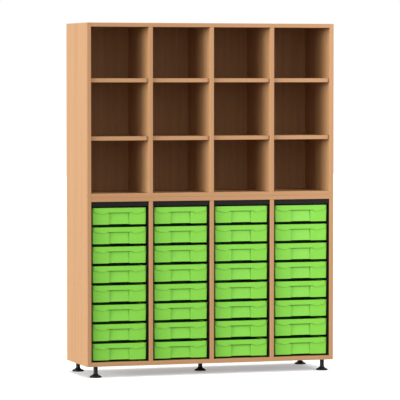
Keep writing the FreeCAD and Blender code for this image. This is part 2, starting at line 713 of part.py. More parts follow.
def trays():
    """A tray on every pair of ledges, numbered from the left and from the top."""
    shape = make_tray()
    for column in COLUMNS:
        for row in ROWS:
            label = f"tray_column{column + 1}_row{len(ROWS) - row}"
            y = from_front("Dims.tray_recess")
            z = f"Worked.lower_floor + Worked.lowest_rim + {row} * Worked.tray_pitch"
            parts[label] = place(copy_of(shape, label), bay_middle(column), y, z)


# Levelling feet
def make_foot():
    """A bell-shaped foot with a blind hole for its spindle; Z = 0 is the floor."""
    body = new_body("FootShape")
    top = "Dims.foot_height - Dims.fit_gap"
    neck = "Dims.foot_neck / 2"
    pad_radius = "Dims.foot_diameter / 2"
    bore = "Dims.spindle_diameter / 2 + Dims.drill_gap"
    seat = f"{top} - Dims.spindle_seat"
    flare = "Dims.foot_flare - Dims.foot_rim"
    revolve(body, [("0", "0"), (pad_radius, "0", "Dims.foot_edge"),
                   (pad_radius, "Dims.foot_rim", "Dims.foot_edge"),
                   (f"{neck} + ({flare}) / 4", f"Dims.foot_rim + ({flare}) / 4", f"{flare}"),
                   (neck, "Dims.foot_flare", f"({flare}) / 2"),
                   (neck, top), (bore, top), (bore, seat), ("0", seat)])
    return body


def feet():
    """Four corner feet and one in the middle, each with a spindle in a threaded socket."""
    shape = make_foot()
    side = "(Worked.carcass_width / 2 - Dims.foot_inset_side)"
    front = from_front("Dims.foot_inset_front")
    places = {"front_left": (f"-{side}", front), "front_right": (side, front),
              "rear_left": (f"-{side}", f"-{front}"), "rear_right": (side, f"-{front}"),
              "centre": ("0", "0")}
    sockets = []
    for name, (x, y) in places.items():
        foot = place(copy_of(shape, f"foot_pad_{name}"), x, y, "0")
        length = "Dims.spindle_seat + Worked.spindle_reach"
        z = "Dims.foot_height - Dims.fit_gap - Dims.spindle_seat"
        spindle = rod(f"spindle_{name}", "Dims.spindle_diameter", length, x, y, z)
        group(f"foot_{name}", [foot, spindle])
        sockets.append(socket(name, x, y))
    group("foot_sockets", sockets)


def socket(name, x, y):
    """A threaded sleeve let into the underside of the bottom panel."""
    diameter = "2 * Worked.socket_radius"
    sleeve = doc.addObject("Part::Cut", f"socket_{name}")
    sleeve.Base = rod("SocketOutside", diameter, "Worked.socket_length", x, y, "Dims.foot_height")
    sleeve.Tool = rod("SocketBore", "Dims.spindle_diameter + 2 * Dims.drill_gap", "Worked.socket_length",
                      x, y, "Dims.foot_height")
    drill(["bottom_panel"], diameter, "Worked.socket_length + Dims.fit_gap", x, y, "Dims.foot_height")
    return sleeve


def drill_boards():
    """Cut the collected holes out of the pieces that they belong to."""
    for label, holes in drillings.items():
        plain = parts[label]
        tool = doc.addObject("Part::Compound", f"{label}_holes")
        tool.Links = holes
        drilled = doc.addObject("Part::Cut", f"{label}_drilled")
        drilled.Base = plain
        drilled.Tool = tool
        plain.Label = f"{label}_plain"
        drilled.Label = label
        parts[label] = drilled


def check_document():
    """Stop if any object failed or any sub-part's shape is unsound."""
    for item in doc.Objects:
        if "Invalid" in item.State or "Error" in item.State:
            raise RuntimeError(f"{item.Label} failed: {item.State}")
    for label, item in parts.items():
        if item.Shape.isNull() or not item.Shape.isValid() or not item.Shape.Solids:
            raise RuntimeError(f"{label} has no sound shape")


def write_parts():
    """Write one STEP file for each sub-part."""
    os.makedirs("parts", exist_ok=True)
    for label, item in parts.items():
        solids = item.Shape.Solids
        shape = solids[0] if len(solids) == 1 else Part.makeCompound(solids)
        shape.exportStep(f"parts/{label}.step")


screw_shape = make_screw()
carcass()
shelves()
runners()
trays()
feet()
group("carcass_dowels", dowels)
group("fixing_screws", screws)
drill_boards()
doc.recompute()
check_document()
write_parts()
print(len(parts), "sub-parts,", sum(len(item.Shape.Solids) for item in parts.values()), "solids")
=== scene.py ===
"""Looks of a classroom cabinet: beech boards, green trays on black runners, fixings and feet.

Everything is in metres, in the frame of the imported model: +Z is up and the front faces -Y.
"""

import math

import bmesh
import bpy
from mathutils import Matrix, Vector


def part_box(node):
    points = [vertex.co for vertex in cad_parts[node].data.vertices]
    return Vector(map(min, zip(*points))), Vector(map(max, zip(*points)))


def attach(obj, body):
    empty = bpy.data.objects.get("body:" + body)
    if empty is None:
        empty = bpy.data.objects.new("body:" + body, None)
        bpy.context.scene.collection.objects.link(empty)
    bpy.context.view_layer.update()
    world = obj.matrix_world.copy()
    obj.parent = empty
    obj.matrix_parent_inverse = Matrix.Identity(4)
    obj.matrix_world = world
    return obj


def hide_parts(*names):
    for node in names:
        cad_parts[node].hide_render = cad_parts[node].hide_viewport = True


bl_info = {
    "name": "Classroom Tray Cabinet",
    "version": (1, 0, 0),
    "blender": (4, 5, 0),
    "location": "3D View > Sidebar > Tray Cabinet",
    "description": "Finishes the boards, trays, runners, fixings and feet of a classroom cabinet",
    "category": "Object",
}

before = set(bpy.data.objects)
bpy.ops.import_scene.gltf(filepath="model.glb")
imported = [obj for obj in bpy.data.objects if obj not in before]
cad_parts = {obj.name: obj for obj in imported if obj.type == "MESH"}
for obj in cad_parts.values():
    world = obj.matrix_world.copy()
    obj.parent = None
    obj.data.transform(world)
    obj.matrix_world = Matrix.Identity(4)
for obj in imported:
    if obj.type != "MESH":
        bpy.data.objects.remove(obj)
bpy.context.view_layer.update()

MM = 0.001

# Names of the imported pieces, by what they are
NODES = sorted(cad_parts)
UPRIGHTS = [name for name in NODES if name.endswith("side_panel") or "_partition_" in name]
LEVELS = [name for name in NODES if name.endswith(("_deck_board", "_shelf_row"))]
LEVELS += ["bottom_panel", "top_panel"]
BACKS = [name for name in NODES if name.endswith("back_panel")]
TRAYS = [name for name in NODES if name.startswith("tray_")]
FEET = [name for name in NODES if name.startswith("foot_") and name != "foot_sockets"]
RUNNERS = ["left_tray_runners", "right_tray_runners", "bay_bars"]

CABINET = "cabinet"
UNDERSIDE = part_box("bottom_panel")[0].z

# Places of the broad light on the left, and the share of its strength that comes from each
LEFT_FAN = (((-5.1, -3.2, 1.6), 0.12), ((-5.6, -2.0, 1.6), 0.38), ((-5.8, -0.8, 2.4), 0.5))
# Places of the other lights, and the point that all of them face
RIGHT_PLACE = (2.9, -3.5, 2.4)
REAR_PLACE = (2.5, 6, 1.5)
SKY_PLACE = (0, 0, 6)
LIT_POINT = Vector((0, 0, 1))
FLOOR_REACH = 30

# Beech grain, coarse to fine: millimetres across and along the grain, and levels of detail
GRAIN = {"band": (38, 1500, 2), "streak": (7, 420, 3), "fleck": (5, 34, 1)}

# Sockets of a Mix node: its factor, two numbers, two colours, and the result of either pair
FACTOR, NUMBER_A, NUMBER_B, COLOUR_A, COLOUR_B = 0, 2, 3, 6, 7
MIXED, MIXED_COLOUR = 0, 2

# In a copy of a CAD piece, points this close are one corner, triangles within the first angle are
# one flat face, and edges past the second angle are rounded
SAME_POINT = 0.002 * MM
FLAT_WITHIN = math.radians(0.4)
ROUNDED_PAST = math.radians(32)


def linear(code):
    """An sRGB hex colour as linear red, green and blue."""
    levels = [int(code[start:start + 2], 16) / 255 for start in (1, 3, 5)]
    return [level / 12.92 if level <= 0.04045 else ((level + 0.055) / 1.055) ** 2.4 for level in levels]


def darker(colour, share):
    """A share of a linear colour."""
    return [share * level for level in colour]


class CabinetSizes(bpy.types.PropertyGroup):
    """Sizes of the softened edges and of the small fittings."""

    tray_edge: bpy.props.FloatProperty(
        name="Tray Edge", description="Radius on the edges of a moulded tray",
        default=1.3 * MM, min=0, unit="LENGTH")
    runner_edge: bpy.props.FloatProperty(
        name="Runner Edge", description="Radius on the edges of the runners and bars",
        default=0.5 * MM, min=0, unit="LENGTH")
    screw_head_height: bpy.props.FloatProperty(
        name="Screw Head Height", description="Height of a screw head",
        default=2 * MM, min=0, unit="LENGTH")
    pin_reach: bpy.props.FloatProperty(
        name="Pin Reach", description="Shelf pin from the bay wall to its free end",
        default=8 * MM, min=0, unit="LENGTH")
    foot_neck: bpy.props.FloatProperty(
        name="Foot Neck", description="Diameter of a foot's neck",
        default=23 * MM, min=0, unit="LENGTH")
    foot_rim: bpy.props.FloatProperty(
        name="Foot Rim", description="Height of the upright edge of a foot",
        default=9 * MM, min=0, unit="LENGTH")
    foot_flare: bpy.props.FloatProperty(
        name="Foot Flare", description="Height where a foot's flare meets its neck",
        default=24 * MM, min=0, unit="LENGTH")
    spindle_diameter: bpy.props.FloatProperty(
        name="Spindle Diameter", description="Levelling spindle over its thread",
        default=10 * MM, min=0, unit="LENGTH")
    spindle_seat: bpy.props.FloatProperty(
        name="Spindle Seat", description="Depth of the spindle in the foot",
        default=34 * MM, min=0, unit="LENGTH")
    thread_pitch: bpy.props.FloatProperty(
        name="Thread Pitch", description="Pitch of the spindle's thread",
        default=1.5 * MM, min=0, unit="LENGTH")


class CabinetColours(bpy.types.PropertyGroup):
    """Colours of the finishes."""

    beech_light: bpy.props.FloatVectorProperty(
        name="Beech, Light", description="Pale tone of the beech grain",
        default=linear("#CCA073"), min=0, max=1, subtype="COLOR")
    beech_dark: bpy.props.FloatVectorProperty(
        name="Beech, Dark", description="Darker tone of the beech grain",
        default=linear("#BF8D60"), min=0, max=1, subtype="COLOR")
    beech_fleck: bpy.props.FloatVectorProperty(
        name="Beech Fleck", description="Short rays in the beech grain",
        default=linear("#A5744A"), min=0, max=1, subtype="COLOR")
    beech_band: bpy.props.FloatVectorProperty(
        name="Beech Band", description="Plain tone of the plastic band on the front edges",
        default=linear("#CA9770"), min=0, max=1, subtype="COLOR")
    tray: bpy.props.FloatVectorProperty(
        name="Tray", description="Green of the moulded trays",
        default=linear("#8FE34D"), min=0, max=1, subtype="COLOR")
    tray_deep: bpy.props.FloatVectorProperty(
        name="Tray, Deep", description="Deeper green where the moulding is thin",
        default=linear("#88D847"), min=0, max=1, subtype="COLOR")
    runner: bpy.props.FloatVectorProperty(
        name="Runner", description="Black of the runners and bars",
        default=linear("#211E1D"), min=0, max=1, subtype="COLOR")
    foot: bpy.props.FloatVectorProperty(
        name="Foot", description="Black of the feet",
        default=linear("#1E1E1F"), min=0, max=1, subtype="COLOR")
    zinc: bpy.props.FloatVectorProperty(
        name="Zinc", description="Zinc plating on screws, pins and spindles",
        default=linear("#C4C6C8"), min=0, max=1, subtype="COLOR")
    dowel: bpy.props.FloatVectorProperty(
        name="Dowel", description="Bare beech of the dowels",
        default=linear("#D9B78C"), min=0, max=1, subtype="COLOR")


class CabinetStage(bpy.types.PropertyGroup):
    """The camera, the lights and the floor."""

    camera_place: bpy.props.FloatVectorProperty(
        name="Camera Place", description="Where the camera stands",
        default=(-4.8487, -14.9734, 1.6129), subtype="TRANSLATION", unit="LENGTH")
    camera_turn: bpy.props.FloatProperty(
        name="Camera Turn", description="How far the camera looks to the right of +Y",
        default=math.radians(17.939), subtype="ANGLE")
    camera_dip: bpy.props.FloatProperty(
        name="Camera Dip", description="How far the camera looks below the horizon",
        default=math.radians(2.459), subtype="ANGLE")
    camera_lens: bpy.props.FloatProperty(
        name="Lens", description="Focal length on a 36 mm sensor",
        default=258.94, unit="CAMERA")
    left_light: bpy.props.FloatProperty(
        name="Left Light", description="Strength of the broad light from far on the left",
        default=3.25, min=0)
    right_light: bpy.props.FloatProperty(
        name="Right Light", description="Power of the soft light on the right",
        default=107, min=0, unit="POWER")
    rear_light: bpy.props.FloatProperty(
        name="Rear Light", description="Strength of the low light from behind on the right",
        default=1.5, min=0)
    sky_light: bpy.props.FloatProperty(
        name="Sky Light", description="Strength of the light that falls straight down",
        default=1.6, min=0)
    surroundings: bpy.props.FloatProperty(
        name="Surroundings", description="Strength of the even light from all sides",
        default=0.69, min=0)
    floor_glow: bpy.props.FloatProperty(
        name="Floor Glow", description="Paleness of the floor in shadow, as the camera sees it",
        default=0.34, min=0, max=1)


def add_node(tree, kind, inputs=None, **settings):
    """Add a node, set its properties, and set or link its inputs by name or number."""
    node = tree.nodes.new(kind)
    for name, value in settings.items():
        setattr(node, name, value)
    for name, value in (inputs or {}).items():
        socket = node.inputs[name]
        if isinstance(value, bpy.types.NodeSocket):
            tree.links.new(value, socket)
        else:
            socket.default_value = value
    return node


def start_material(name, **constants):
    """A new material with its shader; constants are set on the shader's own sockets."""
    material = bpy.data.materials.new(name)
    material.use_nodes = True
    shader = material.node_tree.nodes["Principled BSDF"]
    for socket, value in constants.items():
        shader.inputs[socket.replace("_", " ")].default_value = value
    return material, material.node_tree, shader


def beech_laminate(name, grain_axis, edged=True):
    """Beech-decor melamine on chipboard: satin, straight-grained, with short darker rays.

    The eye gets soft bands along the board, finer streaks in them and a sparse fleck. The real
    fleck is under a millimetre wide; it is drawn several times coarser, so that it shows.
    grain_axis is 0, 1 or 2 for X, Y or Z. Edged boards have a plain plastic band on their front.
    """
    colours = bpy.context.scene.cabinet_colours
    material, tree, shader = start_material(name, IOR=1.5, Specular_IOR_Level=0.15)
    place = add_node(tree, "ShaderNodeTexCoord").outputs["Object"]
    patterns = {}
    for pattern, (across, length, detail) in GRAIN.items():
        scale = [1 / (across * MM)] * 3
        scale[grain_axis] = 1 / (length * MM)
        stretched = add_node(tree, "ShaderNodeMapping", {"Vector": place, "Scale": scale})
        noise = add_node(tree, "ShaderNodeTexNoise",
                         {"Vector": stretched.outputs["Vector"], "Scale": 1.0, "Detail": detail})
        patterns[pattern] = noise.outputs["Fac"]
    grain = add_node(tree, "ShaderNodeMix",
                     {FACTOR: 0.4, NUMBER_A: patterns["band"], NUMBER_B: patterns["streak"]})
    tone = add_node(tree, "ShaderNodeMapRange",
                    {"Value": grain.outputs[MIXED], "From Min": 0.3, "From Max": 0.7})
    wood = add_node(tree, "ShaderNodeMix",
                    {FACTOR: tone.outputs[0], COLOUR_A: (*colours.beech_light, 1),
                     COLOUR_B: (*colours.beech_dark, 1)}, data_type="RGBA")
    ray = add_node(tree, "ShaderNodeMapRange", {"Value": patterns["fleck"], "From Min": 0.62,
                                                "From Max": 0.78, "To Max": 0.35})
    surface = add_node(tree, "ShaderNodeMix",
                       {FACTOR: ray.outputs[0], COLOUR_A: wood.outputs[MIXED_COLOUR],
                        COLOUR_B: (*colours.beech_fleck, 1)}, data_type="RGBA")
    colour = surface.outputs[MIXED_COLOUR]
    if edged:
        front = -0.8
        normal = add_node(tree, "ShaderNodeNewGeometry").outputs["True Normal"]
        facing = add_node(tree, "ShaderNodeSeparateXYZ", {0: normal}).outputs["Y"]
        band = add_node(tree, "ShaderNodeMath", {0: facing, 1: front}, operation="LESS_THAN")
        plain = add_node(tree, "ShaderNodeMix",
                         {FACTOR: 0.5, COLOUR_A: wood.outputs[MIXED_COLOUR],
                          COLOUR_B: (*colours.beech_band, 1)}, data_type="RGBA")
        both = add_node(tree, "ShaderNodeMix",
                        {FACTOR: band.outputs[0], COLOUR_A: colour, COLOUR_B: plain.outputs[MIXED_COLOUR]},
                        data_type="RGBA")
        colour = both.outputs[MIXED_COLOUR]
    tree.links.new(colour, shader.inputs["Base Color"])
    satin = add_node(tree, "ShaderNodeMapRange",
                     {"Value": patterns["streak"], "To Min": 0.40, "To Max": 0.54})
    tree.links.new(satin.outputs[0], shader.inputs["Roughness"])
    pores = add_node(tree, "ShaderNodeBump",
                     {"Height": patterns["streak"], "Strength": 0.12, "Distance": 0.3 * MM})
    tree.links.new(pores.outputs[0], shader.inputs["Normal"])
    return material


def polypropylene(name, light, deep, rough, shine):
    """Injection-moulded polypropylene: a waxy half gloss over a faint spark-eroded grain.

    The eye gets clean colour, a soft wide highlight on every rounded edge and a slight cloudiness.
    The real grain is about 0.3 mm; it is drawn at 2 mm, so that it shows.
    """
    material, tree, shader = start_material(name, IOR=1.49, Specular_IOR_Level=shine)
    place = add_node(tree, "ShaderNodeTexCoord").outputs["Object"]
    cloud = add_node(tree, "ShaderNodeTexNoise", {"Vector": place, "Scale": 1 / (90 * MM), "Detail": 2.0})
    grain = add_node(tree, "ShaderNodeTexNoise", {"Vector": place, "Scale": 1 / (2 * MM), "Detail": 1.0})
    tone = add_node(tree, "ShaderNodeMix",
                    {FACTOR: cloud.outputs["Fac"], COLOUR_A: (*light, 1), COLOUR_B: (*deep, 1)},
                    data_type="RGBA")
    tree.links.new(tone.outputs[MIXED_COLOUR], shader.inputs["Base Color"])
    spread = 0.06
    gloss = add_node(tree, "ShaderNodeMapRange",
                     {"Value": grain.outputs["Fac"], "To Min": rough - spread, "To Max": rough + spread})
    tree.links.new(gloss.outputs[0], shader.inputs["Roughness"])
    relief = add_node(tree, "ShaderNodeBump",
                      {"Height": grain.outputs["Fac"], "Strength": 0.06, "Distance": 0.2 * MM})
    tree.links.new(relief.outputs[0], shader.inputs["Normal"])
    return material


def zinc_plate(name, colour):
    """Zinc-plated steel: grey, bright, with a faint patchy haze from the passivation."""
    material, tree, shader = start_material(name, Metallic=1.0)
    place = add_node(tree, "ShaderNodeTexCoord").outputs["Object"]
    haze = add_node(tree, "ShaderNodeTexNoise", {"Vector": place, "Scale": 1 / (3 * MM), "Detail": 3.0})
    tone = add_node(tree, "ShaderNodeMix",
                    {FACTOR: haze.outputs["Fac"], COLOUR_A: (*colour, 1),
                     COLOUR_B: (*darker(colour, 0.8), 1)}, data_type="RGBA")
    tree.links.new(tone.outputs[MIXED_COLOUR], shader.inputs["Base Color"])
    rough = add_node(tree, "ShaderNodeMapRange",
                     {"Value": haze.outputs["Fac"], "To Min": 0.25, "To Max": 0.45})
    tree.links.new(rough.outputs[0], shader.inputs["Roughness"])
    return material


def bare_beech(name, colour):
    """Turned beech dowel: bare, matt wood with fine pores."""
    material, tree, shader = start_material(name, IOR=1.5, Roughness=0.7)
    place = add_node(tree, "ShaderNodeTexCoord").outputs["Object"]
    pores = add_node(tree, "ShaderNodeTexNoise", {"Vector": place, "Scale": 1 / (4 * MM), "Detail": 4.0})
    tone = add_node(tree, "ShaderNodeMix",
                    {FACTOR: pores.outputs["Fac"], COLOUR_A: (*colour, 1),
                     COLOUR_B: (*darker(colour, 0.7), 1)}, data_type="RGBA")
    tree.links.new(tone.outputs[MIXED_COLOUR], shader.inputs["Base Color"])
    return material


def new_piece(name, mesh):
    """An object for a mesh, at the origin."""
    piece = bpy.data.objects.new(name, mesh)
    bpy.context.scene.collection.objects.link(piece)
    return piece


def make_plain(piece):
    """Turn what a piece's modifiers give into its own mesh."""
    evaluated = piece.evaluated_get(bpy.context.evaluated_depsgraph_get())
    mesh = bpy.data.meshes.new_from_object(evaluated)
    mesh.name = piece.name
    piece.modifiers.clear()
    piece.data = mesh
    return mesh


def dress(node, material):
    """Give a CAD piece a finish."""
    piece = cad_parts[node]
    for slot in piece.material_slots:
        slot.material = material


def softened_mesh(node, radius, steps):
    """A copy of a CAD piece's mesh, with its triangles joined and its edges rounded."""
    shape = bmesh.new()
    shape.from_mesh(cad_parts[node].data)
    bmesh.ops.remove_doubles(shape, verts=shape.verts, dist=SAME_POINT)
    bmesh.ops.dissolve_limit(shape, angle_limit=FLAT_WITHIN, verts=shape.verts, edges=shape.edges)
    mesh = bpy.data.meshes.new(node + "_soft")
    shape.to_mesh(mesh)
    shape.free()
    for attribute in ("custom_normal", "sharp_edge", "sharp_face"):
        if attribute in mesh.attributes:
            mesh.attributes.remove(mesh.attributes[attribute])
    mesh.materials.clear()
    piece = new_piece(node + "_soft", mesh)
    bevel = piece.modifiers.new("Soft edges", "BEVEL")
    bevel.width = radius
    bevel.segments = steps
    bevel.limit_method = "ANGLE"
    bevel.angle_limit = ROUNDED_PAST
    bevel.use_clamp_overlap = True
    mesh.shade_smooth()
    piece.modifiers.new("Flat faces", "WEIGHTED_NORMAL")
    softened = make_plain(piece)
    bpy.data.objects.remove(piece)
    return softened


def lathe(shape, profile, segments):
    """Turn a profile of (radius, height) about the Z axis, from its lower end to its upper one."""
    turns = [2 * math.pi * step / segments for step in range(segments)]
    rings = []
    for radius, height in profile:
        points = [(radius * math.cos(turn), radius * math.sin(turn), height) for turn in turns]
        if radius == 0:
            points = points[:1]
        rings.append([shape.verts.new(point) for point in points])
    for low, high in zip(rings, rings[1:]):
        for step in range(segments):
            following = (step + 1) % segments
            corners = [low[step % len(low)], low[following % len(low)],
                       high[following % len(high)], high[step % len(high)]]
            shape.faces.new(list(dict.fromkeys(corners)))
    return rings


def finish_mesh(shape, name, crease):
    """A smooth-shaded mesh from a bmesh, with edges sharp beyond an angle."""
    bmesh.ops.recalc_face_normals(shape, faces=shape.faces)
    mesh = bpy.data.meshes.new(name)
    shape.to_mesh(mesh)
    shape.free()
    mesh.shade_smooth()
    mesh.set_sharp_from_angle(angle=math.radians(crease))
    return mesh


def islands(node):
    """Lowest corner, highest corner and corner points of each loose solid in a CAD piece."""
    shape = bmesh.new()
    shape.from_mesh(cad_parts[node].data)
    bmesh.ops.remove_doubles(shape, verts=shape.verts, dist=SAME_POINT)
    unseen = set(shape.verts)
    found = []
    for start in shape.verts:
        if start not in unseen:
            continue
        unseen.discard(start)
        reached = [start]
        for vert in reached:
            for edge in vert.link_edges:
                other = edge.other_vert(vert)
                if other in unseen:
                    unseen.discard(other)
                    reached.append(other)
        points = [vert.co.copy() for vert in reached]
        low = Vector([min(point[axis] for point in points) for axis in range(3)])
        high = Vector([max(point[axis] for point in points) for axis in range(3)])
        found.append((low, high, points))
    shape.free()
    return found


def end_tree(tree, geometry, finish):
    """End a tree: make what it holds real, give it its finish and send it out."""
    real = add_node(tree, "GeometryNodeRealizeInstances", {0: geometry})
    finished = add_node(tree, "GeometryNodeSetMaterial", {"Geometry": real.outputs[0], "Material": finish})
    add_node(tree, "NodeGroupOutput", {0: finished.outputs[0]})


def repeat_tree():
    """Geometry nodes that set one fitting on every point, turned to the point's direction."""
    tree = bpy.data.node_groups.new("Fittings On Points", "GeometryNodeTree")
    tree.interface.new_socket("Points", in_out="INPUT", socket_type="NodeSocketGeometry")
    tree.interface.new_socket("Fitting", in_out="INPUT", socket_type="NodeSocketObject")
    tree.interface.new_socket("Diameter", in_out="INPUT", socket_type="NodeSocketFloat")
    tree.interface.new_socket("Finish", in_out="INPUT", socket_type="NodeSocketMaterial")
    tree.interface.new_socket("Fittings", in_out="OUTPUT", socket_type="NodeSocketGeometry")
    given = add_node(tree, "NodeGroupInput").outputs
    fitting = add_node(tree, "GeometryNodeObjectInfo", {"Object": given["Fitting"]})
    direction = add_node(tree, "GeometryNodeInputNamedAttribute", {"Name": "direction"},
                         data_type="FLOAT_VECTOR")
    turn = add_node(tree, "FunctionNodeAlignRotationToVector", {"Vector": direction.outputs[0]}, axis="Z")
    size = add_node(tree, "ShaderNodeCombineXYZ", {axis: given["Diameter"] for axis in range(3)})
    copies = add_node(tree, "GeometryNodeInstanceOnPoints",
                      {"Points": given["Points"], "Instance": fitting.outputs["Geometry"],
                       "Rotation": turn.outputs[0], "Scale": size.outputs[0]})
    end_tree(tree, copies.outputs[0], given["Finish"])
    return tree


def thread_tree():
    """Geometry nodes for a threaded rod that stands on the origin."""
    tree = bpy.data.node_groups.new("Threaded Spindle", "GeometryNodeTree")
    for name in ("Diameter", "Pitch", "Length"):
        tree.interface.new_socket(name, in_out="INPUT", socket_type="NodeSocketFloat")
    tree.interface.new_socket("Finish", in_out="INPUT", socket_type="NodeSocketMaterial")
    tree.interface.new_socket("Spindle", in_out="OUTPUT", socket_type="NodeSocketGeometry")
    given = add_node(tree, "NodeGroupInput").outputs
    depth_of_pitch = 0.55
    turn_steps, ridge_sides, rod_sides = 24, 4, 32
    half = add_node(tree, "ShaderNodeMath", {0: given["Diameter"], 1: 0.5}, operation="MULTIPLY")
    depth = add_node(tree, "ShaderNodeMath", {0: given["Pitch"], 1: depth_of_pitch}, operation="MULTIPLY")
    core = add_node(tree, "ShaderNodeMath", {0: half.outputs[0], 1: depth.outputs[0]},
                    operation="SUBTRACT").outputs[0]
    turns = add_node(tree, "ShaderNodeMath", {0: given["Length"], 1: given["Pitch"]}, operation="DIVIDE")
    helix = add_node(tree, "GeometryNodeCurveSpiral",
                     {"Resolution": turn_steps, "Rotations": turns.outputs[0], "Start Radius": core,
                      "End Radius": core, "Height": given["Length"]})
    ridge = add_node(tree, "GeometryNodeCurvePrimitiveCircle",
                     {"Resolution": ridge_sides, "Radius": depth.outputs[0]})
    thread = add_node(tree, "GeometryNodeCurveToMesh",
                      {"Curve": helix.outputs[0], "Profile Curve": ridge.outputs[0], "Fill Caps": True})
    rod = add_node(tree, "GeometryNodeMeshCylinder",
                   {"Vertices": rod_sides, "Radius": core, "Depth": given["Length"]})
    middle = add_node(tree, "ShaderNodeMath", {0: given["Length"], 1: 0.5}, operation="MULTIPLY")
    rise = add_node(tree, "ShaderNodeCombineXYZ", {"Z": middle.outputs[0]})
    raised = add_node(tree, "GeometryNodeTransform",
                      {"Geometry": rod.outputs["Mesh"], "Translation": rise.outputs[0]})
    whole = add_node(tree, "GeometryNodeJoinGeometry", {0: raised.outputs[0]})
    tree.links.new(thread.outputs[0], whole.inputs[0])
    end_tree(tree, whole.outputs[0], given["Finish"])
    return tree


def run_tree(piece, tree, **inputs):
    """Run geometry nodes on a piece with the named inputs, and keep the result as its mesh."""
    modifier = piece.modifiers.new(tree.name, "NODES")
    modifier.node_group = tree
    for item in tree.interface.items_tree:
        if item.in_out == "INPUT" and item.name in inputs:
            modifier[item.identifier] = inputs[item.name]
    return make_plain(piece)


def set_fittings(name, points, directions, fitting, diameter, finish):
    """One piece made of a fitting repeated on points."""
    mesh = bpy.data.meshes.new(name)
    mesh.from_pydata(points, [], [])
    attribute = mesh.attributes.new("direction", "FLOAT_VECTOR", "POINT")
    attribute.data.foreach_set("vector", [part for direction in directions for part in direction])
    piece = new_piece(name, mesh)
    template = new_piece(name + "_pattern", fitting)
    run_tree(piece, repeat_tree(), Fitting=template, Diameter=diameter, Finish=finish)
    bpy.data.objects.remove(template)
    return piece


def cross_head_screw(head_height, shank):
    """A pan-head screw with a cross recess, for a head one unit across; the head's top is at Z = 0."""
    shape = bmesh.new()
    tip = -3 * shank - head_height
    rim, shoulder, flat = 0.5, 0.46, 0.36
    rim_top, shoulder_top = -0.55 * head_height, -0.22 * head_height
    profile = [(0, tip), (shank / 2, tip + shank), (shank / 2, -head_height), (rim, -head_height),
               (rim, rim_top), (shoulder, shoulder_top), (flat, 0)]
    top = lathe(shape, profile, segments=24)[-1]
    arm, half = 0.26, 0.065
    taper, depth = 0.6, 0.8 * head_height
    corners = [(arm, -half), (arm, half), (half, half), (half, arm), (-half, arm), (-half, half)]
    cross = corners + [(-x, -y) for x, y in corners]
    mouth = [shape.verts.new((x, y, 0)) for x, y in cross]
    floor = [shape.verts.new((taper * x, taper * y, -depth)) for x, y in cross]
    outside = [shape.edges.get((top[step], top[step - 1])) for step in range(len(top))]
    inside = [shape.edges.new((mouth[step - 1], mouth[step])) for step in range(len(mouth))]
    bmesh.ops.bridge_loops(shape, edges=outside + inside)
    for step in range(len(mouth)):
        shape.faces.new((mouth[step - 1], mouth[step], floor[step], floor[step - 1]))
    shape.faces.new(floor)
    return finish_mesh(shape, "cross_head_screw", crease=35)


def collared_pin(reach, length):
    """A shelf pin with a collar at the wall, one unit across; its free end is at Z = 0."""
    shape = bmesh.new()
    stem, tail, nose = 0.5, 0.42, 0.4
    tail_bevel, nose_bevel = 0.1, 0.12
    collar, collar_face, thickness = 0.8, 0.72, 0.26
    collar_wall = 0.7 * thickness
    profile = [(0, -length), (tail, -length), (stem, tail_bevel - length), (stem, -reach),
               (collar, -reach), (collar, collar_wall - reach), (collar_face, thickness - reach),
               (stem, thickness - reach), (stem, -nose_bevel), (nose, 0), (0, 0)]
    lathe(shape, profile, segments=24)
    return finish_mesh(shape, "collared_pin", crease=35)


def foot_bell(radius):
    """A bell-shaped foot that stands on the origin, with a raised ring underneath."""
    sizes = bpy.context.scene.cabinet_sizes
    neck = sizes.foot_neck / 2
    edge = 3 * MM
    ring_width, ring_height, bevel = 8 * MM, 1.2 * MM, 1 * MM
    bore, bore_depth = sizes.spindle_diameter / 2 + 0.2 * MM, 3 * MM
    top = UNDERSIDE - 0.25 * MM
    sweep = 2.2
    bend_steps, flare_steps = 4, 20
    profile = [(0, ring_height), (radius - ring_width - bevel, ring_height), (radius - ring_width, 0)]
    quarter = [math.pi / 2 * step / bend_steps for step in range(bend_steps + 1)]
    profile += [(radius - edge + edge * math.sin(turn), edge - edge * math.cos(turn)) for turn in quarter]
    profile += [(radius - edge + edge * math.cos(turn), sizes.foot_rim - edge + edge * math.sin(turn))
                for turn in quarter]
    reach = radius - edge - neck
    rise = sizes.foot_flare - sizes.foot_rim
    for step in range(1, flare_steps + 1):
        share = step / flare_steps
        profile.append((neck + reach * (1 - share) ** sweep, sizes.foot_rim + rise * share))
    profile += [(neck, top - bevel), (neck - bevel, top), (bore, top), (bore, top - bore_depth),
                (0, top - bore_depth)]
    shape = bmesh.new()
    lathe(shape, profile, segments=64)
    return finish_mesh(shape, "foot_bell", crease=40)


class CABINET_OT_boards(bpy.types.Operator):
    """Finish the carcass boards, shelves and back panels in beech laminate"""

    bl_idname = "cabinet.boards"
    bl_label = "Boards"

    def execute(self, context):
        upright = beech_laminate("beech_laminate_upright", grain_axis=2)
        level = beech_laminate("beech_laminate_level", grain_axis=0)
        back = beech_laminate("beech_laminate_back", grain_axis=2, edged=False)
        for names, material in ((UPRIGHTS, upright), (LEVELS, level), (BACKS, back)):
            for node in names:
                dress(node, material)
        return {"FINISHED"}


